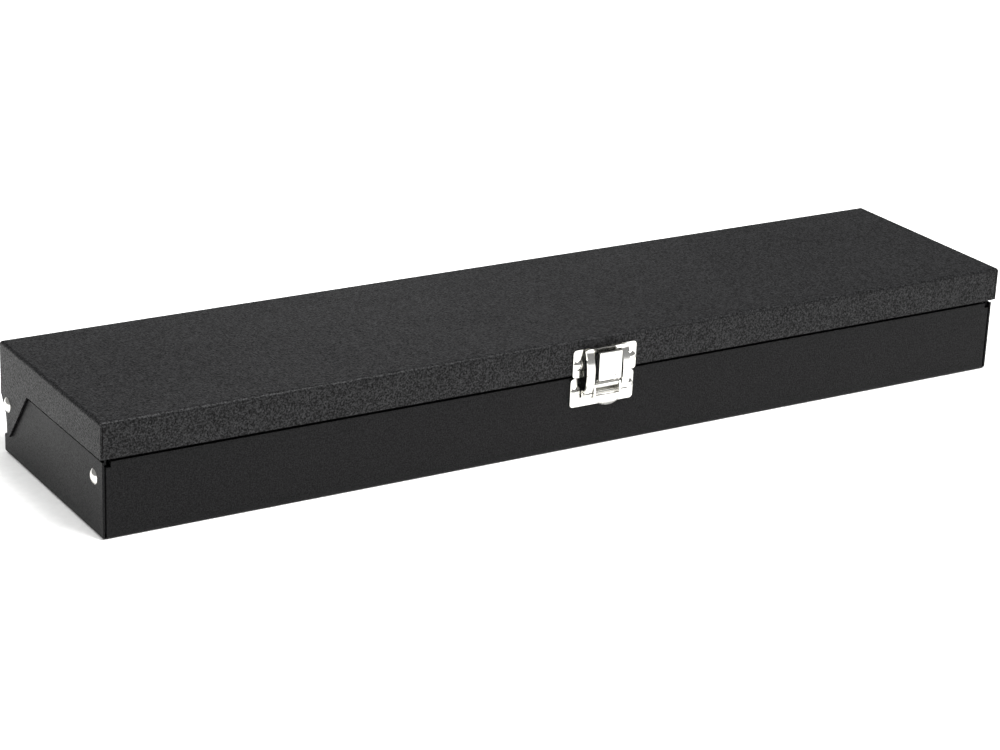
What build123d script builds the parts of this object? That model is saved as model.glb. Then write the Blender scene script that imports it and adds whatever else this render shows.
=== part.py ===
"""Half-inch-drive socket wrench set in a long, slim sheet-steel case with a hinged lid and a toggle latch.

Millimetres, +Z up. X runs along the case, -Y is the latch side and +Y the hinge side. The origin is on the
underside, at the centre of the lid's footprint. Each function below makes one real piece, or one group of
identical fasteners, and main() writes each to its own STEP file.
"""

from build123d import *
from math import cos, pi, radians, sin
import os

# ---- the case: sheet steel -------------------------------------------------------------------------------
LENGTH = 458.0  # over the lid's ends
WIDTH = 104.6  # over the lid's front and back flanges
HEIGHT = 51.0  # underside to lid top
SHEET = 0.9  # case sheet thickness
GAP = 0.3  # running gap between the lid's inside and the base's outside
BEND = 1.7  # outer radius of the folds
LID_EDGE = 35.2  # height of the lid's lower edge, front and ends
LID_BACK_EDGE = 27.4  # height of the lid's back flange's lower edge
JOGGLE = 0.6  # how far the lip is set back from the wall below it
GROOVE = 1.7  # shadow groove between the lid's edge and the base's shoulder
LIP_TOP = 38.2  # top of the base's inner lip
SEAM = 0.3  # width of the open corner seams
SEAM_IN = 0.5  # how far each corner seam runs in past the sheet
CUT = 3.0  # how far a cutter reaches past the sheet
CORNER = 0.8  # rounding of the lid's ear tips and of the ears' upper corners
FRONT_TAB = 15.5  # depth of the front wall's folded tab behind each end wall
TAB_Z = (3.0, 31.0)
BASE_SEAM = 0.8  # width of the open seam at each end of the base's front wall
BRIDGE = 2.4  # width of the strip behind that seam
BACK_WALL_INSET = 2.6  # gap between the back wall and each end wall
NOTCH = (2.9, 2.4)  # relief notch at each front corner: along the wall, and down from the shoulder
TAIL_ROOM = 0.4  # clearance of the base's lip round the hinge rivet's tail
LEDGE_BEND = 1.4  # outer radius of the ledge's fold

FRONT = -WIDTH / 2
BACK = WIDTH / 2
END = LENGTH / 2
BASE_END = END - SHEET - GAP  # outer face of the base's end walls
BASE_FRONT = FRONT + SHEET + GAP  # outer face of the base's front wall
SHOULDER = LID_EDGE - GROOVE

# hinge: the lid's ears turn on rivets through the base's ends
PIVOT_Y = BACK - 7.4
PIVOT_Z = 24.2
EAR_TIP_Z = 9.5  # lowest point of the lid's ears
EAR_APEX_Y = BACK - 28.9  # where the ear's slanted front edge leaves the lid's edge
EAR_TIP_BACK_Y = BACK - 6.2
EAR_TIP_FRONT_Y = BACK - 7.9
LUG_R = 5.2  # end wall's round lug about the hinge rivet
LEDGE_Y = BACK - 0.5  # back of the base's low ledge
LEDGE_Z = 9.2
BACK_WALL_Y = BACK - 7.0  # outer face of the base's inset back wall
BACK_WALL_TOP = 38.2

RIVET_R = 2.0  # case rivets' shanks
RIVET_HEAD_R = 3.3
RIVET_HEAD_H = 1.3
TAIL_R = 2.7
TAIL_H = 1.1
CORNER_RIVET_Y = FRONT + 9.6
CORNER_RIVET_Z = 24.7
FIT = 0.05  # radial clearance of a pin or shank in its hole

# ---- the latch --------------------------------------------------------------------------------------------
LATCH_X = 7.0  # centre of the latch along the case
PLATE = 0.9
PLATE_HALF = 16.2
KEEPER_Z = (34.0, 46.8)
CATCH_Z = (20.0, 33.2)
CATCH_SLOT_Z = 24.0  # lower end of the base plate's slots, which the lever and the bail swing into
LATCH_RIVET_X = 13.6  # from the latch's centre
LATCH_RIVET_R = 1.5
LATCH_RIVET_HEAD_R = 2.5
KEEPER_RIVET_Z = 39.8
CATCH_RIVET_Z = 26.8
SLOT_X = (6.2, 10.4)  # the keeper's slots, which the bail's arms pass
LEVER_PIVOT = (BASE_FRONT - 3.2, 30.2)  # (y, z) of the pin that holds the lever
BAIL_PIVOT = (BASE_FRONT - 2.8, 26.0)  # (y, z) of the pin that joins bail and lever
BAR_Y = FRONT - 2.4  # centre of the bail's crossbar
BAR_Z = 46.35
LIP_Z = 46.0  # top of the hook's lip
BOX_LOW = 32.9  # lower edge of the keeper's box
BOX_HALF = 5.8
ARM_X = (7.3, 10.9)  # the bail's arms, from the latch's centre
FLANGE_X = (6.1, 7.0)  # the lever's side flanges
TAB_R = 10.0
TAB_CENTRE_Z = 31.2
BAR_HALF = 0.75  # half the height of the bail's crossbar
TAB_TOP = 24.4  # where the lever widens into its finger tab
BOSS_R = 1.9
PIN_R = 1.0
HOOK_OUT = 6.2  # how far the keeper's box stands out from the lid
PLATE_CORNER = 1.6  # rounding of the latch plates' corners
SLOT_TOP = 44.9  # top of the keeper's slots
HOOK_SLOPE = (3.3, 45.2)  # the box's sloped top edge: distance out from the lid, and height
PANEL_HALF = 2.9  # recessed panel on the box's front
PANEL_DEPTH = 0.25
KNUCKLE_HALF = 5.8
LATCH_RIVET_HEAD_H = 1.2
LATCH_TAIL = (2.1, 0.8)  # radius and height of the latch rivets' tails
BAR_HALF_Y = 0.5  # half the thickness of the bail's crossbar
BOW_Z = 36.2  # where the bail's arms bow out furthest
BOW = (2.6, 1.65)  # how far the arms' outer and inner faces bow out in front of the crossbar

# ---- the contents -----------------------------------------------------------------------------------------
FLOOR_FOAM = 2.0
FOAM_TOP = 24.0
FOAM_X = 222.0
FOAM_FRONT = -48.0
FOAM_BACK = 43.4
POCKET_GAP = 0.5  # room round each tool in its pocket
CELL_GAP = 0.2  # room round each socket in its cell
BED_SPLIT_X = -70.5  # joint between the two socket beds
BED_RIGHT_X = 110.5  # right end of the socket beds
SOCKET_BED_BACK = -15.6
JOINT_BED_BACK = -5.9
JOINT_BED_WALL = 1.4
FINGER_X = (-50.0, 15.0)  # finger hollows between the two long tools
FINGER_Y = 16.2
FINGER_Z = 9.0
FINGER_R = 11.0  # half a hollow's side
REST = SHEET + FLOOR_FOAM + 0.1  # height on which the tools stand
DRIVE = 12.7  # male drive square
DRIVE_HOLE = 12.95  # female drive square
DRIVE_LENGTH = 15.5
FEMALE_DEPTH = 16.5
BALL_R = 1.6
BALL_OUT = 0.7  # how far a retaining ball stands out of its square
BALL_BACK = 5.5  # from the square's end
BALL_BORE = 3.7  # depth of the ball's bore

# sockets, standing in one row
SOCKET_SIZES = (10, 11, 12, 13, 14, 15, 16, 17, 18, 19, 21, 22)  # across flats
SOCKET_Y = -31.8
SOCKET_START_X = -219.5
SOCKET_WEB = 3.0  # foam left between two sockets
SOCKET_HEIGHT = 38.0
SOCKET_WAIST = (16.5, 20.0)  # solid web between the square and the hexagon
DRIVE_END_R = 11.0

# ratchet
RATCHET = (-147.0, 3.6)  # (x, y) of the drive square's axis
HEAD_R = 18.5
HEAD_Z = (REST + DRIVE_LENGTH + 0.2, REST + DRIVE_LENGTH + 20.2)
HEAD_FLOOR = 2.3
NECK_R = 11.0
NECK_X = 22.0
RATCHET_END_X = 85.0
RATCHET_Z = (HEAD_Z[0] + HEAD_Z[1]) / 2
RATCHET_GRIP_R = 10.0
COVER = 2.0
SCREW_R = 1.1
SCREW_DEPTH = 5.0
GEAR_R = 12.3
GEAR_TEETH = 36
TOOTH = 0.9
GEAR_Z = (HEAD_Z[0] + HEAD_FLOOR + 0.2, HEAD_Z[1] - COVER - 3.0)
JOURNAL_R = 9.3
HUB_R = 8.0
PAWL_PIVOT = 17.4  # from the drive's axis, towards the handle
PAWL_R = 6.6
PAWL_Z = (GEAR_Z[0] + 1.0, GEAR_Z[1] - 0.5)
PAWL_TILT = 4.6  # degrees from its middle position
SHAFT_R = 2.0
SELECTOR_TILT = 30.0
BUTTON_R = 3.5
BUTTON_SEAT = HEAD_Z[1] - 5.0
BUTTON_TRAVEL = 1.5
STEM_R = 2.0

# flex handle
FLEX_PIN = (-183.0, 29.6)  # (x, y) of the pin
FLEX_Z = REST + 11.6
FLEX_HEAD = 29.7  # from the pin to the square's end
FLEX_END_X = 176.0
FLEX_GRIP_X = 40.0
FLEX_GRIP_R = 10.4
FLEX_PIN_R = 3.0
FLEX_TAPER = (-162.0, -152.0)  # where the fork narrows to the shank
FORK_R = 11.0
EAR_R = 10.6
SHANK_R = 6.9
TONGUE = 6.4  # half thickness of the head's tongue
TONGUE_R = 9.0

# extension bar
EXTENSION_X = (93.0, 218.0)
EXTENSION_Y = 6.0
EXTENSION_R = 11.0
EXTENSION_Z = REST + EXTENSION_R

# universal joint
YOKE_R = 11.0
CROSS = (156.0, -32.0, REST + YOKE_R)  # centre of the cross
YOKE_BACK = 38.0  # from the cross to the female end
YOKE_FRONT = 33.0  # from the cross to the square's end
YOKE_THROAT = 12.0
YOKE_GAP = 6.4
YOKE_EAR_R = 5.5
TRUNNION_R = 3.0
SWING_SIDE = 25.0  # degrees, level, towards +Y


# ---- shape helpers ----------------------------------------------------------------------------------------
def block(x, y, z):
    """A box from (low, high) along each axis."""
    size = [high - low for low, high in (x, y, z)]
    middle = [(low + high) / 2 for low, high in (x, y, z)]
    return Pos(*middle) * Box(*size)


def rod(axis, radius, along, centre):
    """A cylinder along an axis name, from along[0] to along[1], through centre on the other two axes."""
    middle, length = (along[0] + along[1]) / 2, along[1] - along[0]
    if axis == "X":
        return Pos(middle, *centre) * Rot(0, 90, 0) * Cylinder(radius, length)
    if axis == "Y":
        return Pos(centre[0], middle, centre[1]) * Rot(90, 0, 0) * Cylinder(radius, length)
    return Pos(*centre, middle) * Cylinder(radius, length)


def plate_x(points, x):
    """A (y, z) outline extruded along X from x[0] to x[1]."""
    outline = Polyline(*[(x[0], y, z) for y, z in points], close=True)
    return extrude(make_face(outline), amount=x[1] - x[0], dir=(1, 0, 0))


def plate_y(points, y):
    """An (x, z) outline extruded along Y from y[0] to y[1]."""
    outline = Polyline(*[(px, y[0], pz) for px, pz in points], close=True)
    return extrude(make_face(outline), amount=y[1] - y[0], dir=(0, 1, 0))


def plate_z(points, z):
    """An (x, y) outline extruded along Z from z[0] to z[1]."""
    outline = Polyline(*[(px, py, z[0]) for px, py in points], close=True)
    return extrude(make_face(outline), amount=z[1] - z[0], dir=(0, 0, 1))


def turned_x(profile, start, centre):
    """A solid of revolution about a line along X: profile holds (distance from start, radius)."""
    y, z = centre
    points = [(start + along, y + radius, z) for along, radius in profile]
    points += [(start + profile[-1][0], y, z), (start + profile[0][0], y, z)]
    face = make_face(Polyline(*points, close=True))
    return revolve(face, Axis((start, y, z), (1, 0, 0)))


def mirrored_x(shape, about=0.0):
    """The shape and its mirror image across the plane x = about."""
    return shape + mirror(shape, Plane((about, 0, 0), z_dir=(1, 0, 0)))


def edges_along(shape, axis, low, high):
    """Straight edges parallel to an axis whose centres lie inside the box from low to high."""
    found = shape.edges().filter_by(axis)
    return [e for e in found if all(a <= c <= b for a, c, b in zip(low, tuple(e.center()), high))]


def dome(radius, height):
    """A low domed rivet head on the plane z = 0, pointing to +Z."""
    ball = (radius**2 + height**2) / (2 * height)
    return (Pos(0, 0, height - ball) * Sphere(ball)) & (Pos(0, 0, height / 2) * Cylinder(radius, height))


def rivet(shank_r, head_r, head_h, grip, tail_r, tail_h):
    """A rivet along Z: its head stands on z = 0, its shank reaches down through grip, then its flat tail."""
    return (
        dome(head_r, head_h)
        + Pos(0, 0, -grip / 2) * Cylinder(shank_r, grip)
        + Pos(0, 0, -grip - tail_h / 2) * Cylinder(tail_r, tail_h)
    )


# ---- the case ---------------------------------------------------------------------------------------------
def lid_side_outline():
    """The lid seen from its end: flange, slanted ear edge, ear tip and back flange."""
    return [
        (FRONT, LID_EDGE),
        (EAR_APEX_Y, LID_EDGE),
        (EAR_TIP_FRONT_Y, EAR_TIP_Z),
        (EAR_TIP_BACK_Y, EAR_TIP_Z),
        (EAR_TIP_BACK_Y + 0.2, EAR_TIP_Z + 5.0),
        (BACK - 5.0, 19.7),
        (BACK, LID_BACK_EDGE),
        (BACK, HEIGHT + 1),
        (FRONT, HEIGHT + 1),
    ]


def lid_shell():
    outer = block((-END, END), (FRONT, BACK), (0, HEIGHT))
    outer = fillet(outer.edges().group_by(Axis.Z)[-1], BEND)
    inner = block((-END + SHEET, END - SHEET), (FRONT + SHEET, BACK - SHEET), (-1, HEIGHT - SHEET))
    inner = fillet(inner.edges().group_by(Axis.Z)[-1], BEND - SHEET)
    lid = (outer - inner) & plate_x(lid_side_outline(), (-END - 1, END + 1))
    for side in (-1, 1):
        for face_y, inward in ((FRONT, 1), (BACK, -1)):
            seam_x = side * (END - SHEET - SEAM / 2)
            seam_y = sorted((face_y - inward, face_y + inward * (SHEET + SEAM_IN)))
            lid -= block((seam_x - SEAM / 2, seam_x + SEAM / 2), seam_y, (0, HEIGHT - BEND))
        hole = rod("X", RIVET_R + FIT, sorted((side * (END - CUT), side * (END + CUT))), (PIVOT_Y, PIVOT_Z))
        lid -= hole
    for x in (-LATCH_RIVET_X, LATCH_RIVET_X):
        lid -= rod("Y", LATCH_RIVET_R, (FRONT - CUT, FRONT + CUT), (LATCH_X + x, KEEPER_RIVET_Z))
    tips = lid.edges().filter_by(Axis.X).filter_by(lambda e: e.center().Z < EAR_TIP_Z + 0.1)
    lid = fillet(tips, CORNER)
    apex = [e for e in lid.edges().filter_by(Axis.X)
            if abs(e.center().Y - EAR_APEX_Y) < 0.01 and abs(e.center().Z - LID_EDGE) < 0.01]
    return fillet(apex, CORNER)


def end_wall_outline():
    """Outer ply of the base's end wall below the shadow groove."""
    return [
        (BASE_FRONT, 0),
        (BASE_FRONT, SHOULDER),
        (PIVOT_Y - 13.0, SHOULDER),
        (PIVOT_Y - 4.0, PIVOT_Z + 3.3),
        (PIVOT_Y, PIVOT_Z),
        (PIVOT_Y + 1.0, 19.0),
        (BACK_WALL_Y, 17.0),
        (BACK_WALL_Y, LEDGE_Z),
        (LEDGE_Y, LEDGE_Z),
        (LEDGE_Y, 0),
    ]


def end_lip_outline():
    """Inner ply of the base's end wall: the lip that stands inside the lid."""
    low = SHOULDER - 2 * SHEET
    return [
        (BASE_FRONT + SHEET + JOGGLE, low),
        (BASE_FRONT + SHEET + JOGGLE, LIP_TOP),
        (BACK_WALL_Y, LIP_TOP),
        (BACK_WALL_Y, low),
    ]


def base_tray():
    inside = BASE_END - SHEET
    tray = block((-BASE_END, BASE_END), (BASE_FRONT, LEDGE_Y), (0, SHEET))
    # front wall with its joggled lip, stopping short of the end walls for the corner seams
    front_x = inside - BASE_SEAM
    tray += block((-front_x, front_x), (BASE_FRONT, BASE_FRONT + SHEET), (0, SHOULDER))
    lip_x = (-front_x + 2, front_x - 2)
    lip_y = BASE_FRONT + SHEET + JOGGLE
    tray += block(lip_x, (BASE_FRONT + SHEET, lip_y), (SHOULDER - 2 * SHEET, SHOULDER - SHEET))
    tray += block(lip_x, (lip_y, lip_y + SHEET), (SHOULDER - 2 * SHEET, LIP_TOP))
    # low ledge and inset back wall
    tray += block((-inside, inside), (LEDGE_Y - SHEET, LEDGE_Y), (0, LEDGE_Z))
    tray += block((-inside, inside), (BACK_WALL_Y - SHEET, LEDGE_Y), (LEDGE_Z - SHEET, LEDGE_Z))
    back_x = inside - BACK_WALL_INSET
    tray += block((-back_x, back_x), (BACK_WALL_Y - SHEET, BACK_WALL_Y), (LEDGE_Z - SHEET, BACK_WALL_TOP))
    end = plate_x(end_wall_outline(), (inside, BASE_END))
    end += rod("X", LUG_R, (inside, BASE_END), (PIVOT_Y, PIVOT_Z))
    lip = plate_x(end_lip_outline(), (inside - JOGGLE - SHEET, inside))
    gap_z = (SHOULDER - SHEET, LIP_TOP + 1)
    end += lip - block((inside - JOGGLE, inside + 1), (BASE_FRONT, BACK), gap_z)
    # the front wall's tab, folded behind the end wall and riveted to it
    end += block((inside - SHEET, inside), (BASE_FRONT + SHEET, BASE_FRONT + FRONT_TAB), TAB_Z)
    end += block((inside - BRIDGE, inside), (BASE_FRONT + SHEET, BASE_FRONT + 2 * SHEET), TAB_Z)
    tray += mirrored_x(end)
    for side in (-1, 1):
        along = sorted((side * (inside - CUT), side * (BASE_END + CUT)))
        tray -= rod("X", RIVET_R + FIT, along, (PIVOT_Y, PIVOT_Z))
        tray -= rod("X", RIVET_R, along, (CORNER_RIVET_Y, CORNER_RIVET_Z))
        # the lip is cut away round the hinge rivet's tail
        tail_x = sorted((side * (inside - CUT), side * inside))
        tray -= rod("X", TAIL_R + TAIL_ROOM, tail_x, (PIVOT_Y, PIVOT_Z))
        # relief notch at each front corner, below the lid's edge
        notch_x = sorted((side * (inside - NOTCH[0]), side * inside))
        tray -= block(notch_x, (BASE_FRONT - 1, BASE_FRONT + SHEET), (SHOULDER - NOTCH[1], SHOULDER + 1))
    for x in (-LATCH_RIVET_X, LATCH_RIVET_X):
        tray -= rod("Y", LATCH_RIVET_R, (BASE_FRONT - CUT, BASE_FRONT + CUT), (LATCH_X + x, CATCH_RIVET_Z))
    envelope = block((-BASE_END, BASE_END), (BASE_FRONT, LEDGE_Y), (0, HEIGHT))
    envelope = fillet(envelope.edges().group_by(Axis.Z)[0], BEND)
    tray = tray & envelope
    ledge = [e for e in tray.edges().filter_by(Axis.X)
             if abs(e.center().Y - LEDGE_Y) < 0.01 and abs(e.center().Z - LEDGE_Z) < 0.01]
    return fillet(ledge, LEDGE_BEND)


def hinge_rivets():
    grip = END + 0.1 - (BASE_END - SHEET)
    one = rivet(RIVET_R, RIVET_HEAD_R, RIVET_HEAD_H, grip, TAIL_R, TAIL_H)
    return mirrored_x(Pos(END + 0.1, PIVOT_Y, PIVOT_Z) * Rot(0, 90, 0) * one)


def corner_rivets():
    one = rivet(RIVET_R, RIVET_HEAD_R, RIVET_HEAD_H, 2 * SHEET, TAIL_R, TAIL_H)
    return mirrored_x(Pos(BASE_END, CORNER_RIVET_Y, CORNER_RIVET_Z) * Rot(0, 90, 0) * one)


# ---- the latch --------------------------------------------------------------------------------------------
def latch_plate(z, plane_y):
    """A rounded plate on the plane y = plane_y, PLATE thick, across the latch's full width."""
    x = (LATCH_X - PLATE_HALF, LATCH_X + PLATE_HALF)
    plate = block(x, (plane_y - PLATE, plane_y), z)
    return fillet(plate.edges().filter_by(Axis.Y), PLATE_CORNER)


def latch_keeper():
    """Plate on the lid: two open slots for the bail's arms and a raised box whose top is the hook."""
    keeper = latch_plate(KEEPER_Z, FRONT)
    slot = block(SLOT_X, (FRONT - CUT, FRONT + CUT), (KEEPER_Z[0] - 1, SLOT_TOP))
    keeper -= Pos(LATCH_X, 0, 0) * mirrored_x(slot)
    out = FRONT - HOOK_OUT
    wall = [
        (FRONT - PLATE / 2, KEEPER_Z[0]),
        (FRONT - PLATE / 2, SLOT_TOP - 0.2),
        (FRONT - HOOK_SLOPE[0], HOOK_SLOPE[1]),
        (out + PLATE / 2, LIP_Z),
        (out, LIP_Z),
        (out, BOX_LOW),
        (out + PLATE / 2, BOX_LOW),
    ]
    side = plate_x(wall, (LATCH_X + BOX_HALF - PLATE, LATCH_X + BOX_HALF))
    box = mirrored_x(side, LATCH_X)
    box += block((LATCH_X - BOX_HALF, LATCH_X + BOX_HALF), (out, out + PLATE), (BOX_LOW, LIP_Z))
    box = fillet(edges_along(box, Axis.Z, (-99, out - 0.1, 0), (99, out + 0.1, 99)), 0.7)
    box = fillet(box.edges().filter_by(Axis.X).filter_by(lambda e: e.center().Y < out + 0.1), 0.4)
    panel_x = (LATCH_X - PANEL_HALF, LATCH_X + PANEL_HALF)
    panel = block(panel_x, (out - 1, out + PANEL_DEPTH), (BOX_LOW + 1.7, LIP_Z - 1.8))
    panel = fillet(panel.edges().filter_by(Axis.Y), 0.8)
    keeper = keeper + (box - panel)
    for x in (-LATCH_RIVET_X, LATCH_RIVET_X):
        keeper -= rod("Y", LATCH_RIVET_R, (FRONT - CUT, FRONT + CUT), (LATCH_X + x, KEEPER_RIVET_Z))
    return keeper


def latch_base_plate():
    """Plate on the base, whose middle tongue is rolled into the knuckle that holds the lever's pin."""
    plate = latch_plate(CATCH_Z, BASE_FRONT)
    slot_x = (FLANGE_X[0], ARM_X[1] + 0.5)
    slot = block(slot_x, (BASE_FRONT - CUT, BASE_FRONT + CUT), (CATCH_SLOT_Z, CATCH_Z[1] + 1))
    plate -= Pos(LATCH_X, 0, 0) * mirrored_x(slot)
    y, z = LEVER_PIVOT
    knuckle_x = (LATCH_X - KNUCKLE_HALF, LATCH_X + KNUCKLE_HALF)
    plate += block(knuckle_x, (y, BASE_FRONT), (z + 1.0, z + 1.9))
    plate += rod("X", BOSS_R, knuckle_x, (y, z))
    plate -= rod("X", PIN_R + FIT, (LATCH_X - PLATE_HALF, LATCH_X + PLATE_HALF), (y, z))
    for x in (-LATCH_RIVET_X, LATCH_RIVET_X):
        plate -= rod("Y", LATCH_RIVET_R, (BASE_FRONT - CUT, BASE_FRONT + CUT), (LATCH_X + x, CATCH_RIVET_Z))
    return plate


def latch_lever():
    """Lever with two side flanges on its pivot pin, a web between them and a flared round finger tab."""
    (ay, az), (by, bz) = LEVER_PIVOT, BAIL_PIVOT
    flange = [
        (ay - 1.9, az + 0.6),
        (ay + 1.7, az + 0.6),
        (by + 1.7, bz - 1.6),
        (by - 1.2, 23.4),
        (by - 2.9, 24.4),
        (by - 2.9, 25.6),
    ]
    flange_x = (LATCH_X + FLANGE_X[0], LATCH_X + FLANGE_X[1])
    sides = plate_x(flange, flange_x) + rod("X", BOSS_R, flange_x, LEVER_PIVOT)
    sides = mirrored_x(sides, LATCH_X)
    web = [
        (by - 2.0, 25.6),
        (by - 2.9, 25.6),
        (by - 2.9, 24.6),
        (by - 3.8, 21.1),
        (by - 2.9, 20.9),
        (by - 2.0, 24.4),
    ]
    tab = plate_x(web, (LATCH_X - TAB_R, LATCH_X + TAB_R))
    round_end = rod("Y", TAB_R, (by - 9, by + 3), (LATCH_X, TAB_CENTRE_Z))
    upper = block((LATCH_X - FLANGE_X[1], LATCH_X + FLANGE_X[1]), (by - 9, by + 3), (TAB_TOP, 28))
    lower = block((LATCH_X - TAB_R, LATCH_X + TAB_R), (by - 9, by + 3), (18, TAB_TOP)) & round_end
    lever = sides + (tab & (upper + lower))
    for pivot in (LEVER_PIVOT, BAIL_PIVOT):
        lever -= rod("X", PIN_R + FIT, (LATCH_X - ARM_X[1], LATCH_X + ARM_X[1]), pivot)
    return lever


def latch_bail():
    """Sprung loop: a crossbar behind the keeper's hook, and two bowed arms down to the pin on the lever."""
    by, bz = BAIL_PIVOT
    x0, x1 = LATCH_X + ARM_X[0], LATCH_X + ARM_X[1]
    top = BAR_Z - BAR_HALF
    front, back = BAR_Y - BAR_HALF_Y, BAR_Y + BAR_HALF_Y
    outer = ThreePointArc((x0, front, top), (x0, BAR_Y - BOW[0], BOW_Z), (x0, by - 1.6, bz + 0.8))
    inner = ThreePointArc((x0, by - 0.7, bz + 1.0), (x0, BAR_Y - BOW[1], BOW_Z), (x0, back, top))
    outline = Wire([outer, Line(outer @ 1, inner @ 0), inner, Line(inner @ 1, outer @ 0)])
    arm = extrude(make_face(outline), amount=x1 - x0, dir=(1, 0, 0))
    arm += rod("X", BOSS_R, (x0, x1), (by, bz))
    arm -= rod("X", PIN_R + FIT, (x0 - 1, x1 + 1), (by, bz))
    bar_z = (BAR_Z - BAR_HALF, BAR_Z + BAR_HALF)
    bar = block((LATCH_X - ARM_X[1], LATCH_X + ARM_X[1]), (front, back), bar_z)
    bar = fillet(bar.edges().filter_by(Axis.Y).group_by(Axis.Z)[-1], 1.0)
    return mirrored_x(arm, LATCH_X) + bar


def latch_pin(pivot, half):
    """A plain pin along X through a latch pivot."""
    return rod("X", PIN_R, (LATCH_X - half, LATCH_X + half), pivot)


def latch_rivets(plane_y, z):
    """Two domed rivets that hold a latch plate to the sheet behind plane_y."""
    head = (LATCH_RIVET_HEAD_R, LATCH_RIVET_HEAD_H)
    one = rivet(LATCH_RIVET_R, *head, PLATE + SHEET, *LATCH_TAIL)
    one = Pos(LATCH_X + LATCH_RIVET_X, plane_y - PLATE, z) * Rot(90, 0, 0) * one
    return mirrored_x(one, LATCH_X)


# ---- foam ------------------------------------------------------------------------------------------------
def foam_floor():
    top = SHEET + FLOOR_FOAM
    return block((-FOAM_X, FOAM_X), (FOAM_FRONT, FOAM_BACK), (SHEET, top))


def foam_block(x, y):
    """A foam block between the floor sheet and FOAM_TOP."""
    return block(x, y, (SHEET + FLOOR_FOAM, FOAM_TOP))


def socket_bed(first, last, x):
    """Foam block from x[0] to x[1] with one square-cornered cell for each socket from first to last."""
    foam = foam_block(x, (FOAM_FRONT, SOCKET_BED_BACK))
    for size, middle in socket_places():
        if first <= size <= last:
            half = socket_radius(size) + CELL_GAP
            cell = (middle - half, middle + half), (SOCKET_Y - half, SOCKET_Y + half)
            foam -= block(*cell, (0, HEIGHT))
    return foam


def joint_bed():
    """Foam block with the universal joint's cell, wide enough for its male end to swing sideways."""
    foam = foam_block((BED_RIGHT_X, FOAM_X), (FOAM_FRONT, JOINT_BED_BACK))
    x, y, z = CROSS
    half = YOKE_R + POCKET_GAP
    back, front = x - YOKE_BACK - POCKET_GAP, x + YOKE_FRONT + POCKET_GAP
    foam -= block((back, front), (y - half, y + half), (0, HEIGHT))
    return foam - block((x - YOKE_THROAT, front), (y - half, JOINT_BED_BACK - JOINT_BED_WALL), (0, HEIGHT))


def handle_bed():
    """Foam block with the ratchet's shelf, slots for both bars and finger hollows beside the long tools."""
    foam = foam_block((-FOAM_X, BED_RIGHT_X), (SOCKET_BED_BACK, FOAM_BACK))
    foam += foam_block((BED_RIGHT_X, FOAM_X), (JOINT_BED_BACK, FOAM_BACK))
    x, y = RATCHET
    shelf = (HEAD_Z[0] - 0.3, HEIGHT)
    foam -= teardrop(HEAD_R + POCKET_GAP, NECK_R + POCKET_GAP, NECK_X, shelf)
    half = DRIVE / 2 * 2**0.5 + 1.0
    foam -= block((x - half, x + half), (y - half, y + half), (0, HEIGHT))
    half = RATCHET_GRIP_R + POCKET_GAP
    foam -= block((x, RATCHET_END_X + POCKET_GAP), (y - half, y + half), shelf)
    x, y = FLEX_PIN
    for along, radius in (
        ((x - FLEX_HEAD - POCKET_GAP, FLEX_TAPER[1]), FORK_R),
        ((FLEX_TAPER[1] - 1, FLEX_GRIP_X), SHANK_R),
        ((FLEX_GRIP_X - 4, FLEX_END_X + POCKET_GAP), FLEX_GRIP_R),
    ):
        foam -= block(along, (y - radius - POCKET_GAP, y + radius + POCKET_GAP), (0, HEIGHT))
    half = EXTENSION_R + POCKET_GAP
    along = (EXTENSION_X[0] - POCKET_GAP, EXTENSION_X[1] + POCKET_GAP)
    foam -= block(along, (EXTENSION_Y - half, EXTENSION_Y + half), (0, HEIGHT))
    for x in FINGER_X:
        y, half = FINGER_Y, FINGER_R
        foam -= block((x - half, x + half), (y - half, y + half), (FINGER_Z, HEIGHT))
    return foam


# ---- sockets ----------------------------------------------------------------------------------------------
def nose_radius(size):
    return 0.66 * size + 1.0


def socket_radius(size):
    return max(nose_radius(size), DRIVE_END_R)


def socket_places():
    """(size, x) of each socket, standing in a row with an even web of foam between neighbours."""
    x, places = SOCKET_START_X, []
    for size in SOCKET_SIZES:
        x += socket_radius(size)
        places.append((size, x))
        x += socket_radius(size) + SOCKET_WEB
    return places


def socket(size, x):
    """A six-point socket standing on its square end, its hexagon opening upward."""
    nose, end = nose_radius(size), DRIVE_END_R
    chamfer_out = 0.8
    profile = [
        (0, 0),
        (end - chamfer_out, 0),
        (end, chamfer_out),
        (end, 11.0),
        (end - 0.5, 11.5),
        (end - 0.5, 13.0),
        (end, 13.5),
        (end, 16.5),
        (nose, 20.5),
        (nose, SOCKET_HEIGHT - chamfer_out),
        (nose - chamfer_out, SOCKET_HEIGHT),
        (0, SOCKET_HEIGHT),
    ]
    face = make_face(Polyline(*[(r, 0, z) for r, z in profile], close=True))
    body = revolve(face, Axis.Z)
    hex_depth = SOCKET_HEIGHT - SOCKET_WAIST[1]
    hexagon = extrude(RegularPolygon(size / 2 + 0.06, 6, major_radius=False), hex_depth + 1)
    body -= Pos(0, 0, SOCKET_WAIST[1]) * hexagon
    body -= rod("Z", min(size / 2 - 1.0, 5.6), (0, SOCKET_HEIGHT), (0, 0))
    body -= block(*square_hole(0, 0), (-1, SOCKET_WAIST[0]))
    lead_in = size / 2 / cos(pi / 6) + 0.3
    body -= Pos(0, 0, SOCKET_HEIGHT - 0.4) * Cone(lead_in - 0.9, lead_in + 0.1, 1.0)
    body -= rod("X", 1.8, (0, end + 2), (0, 8.0))
    return Pos(x, SOCKET_Y, REST) * body


def square_hole(a, b):
    """The two ranges of a female drive square centred on (a, b)."""
    half = DRIVE_HOLE / 2
    return (a - half, a + half), (b - half, b + half)


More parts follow.
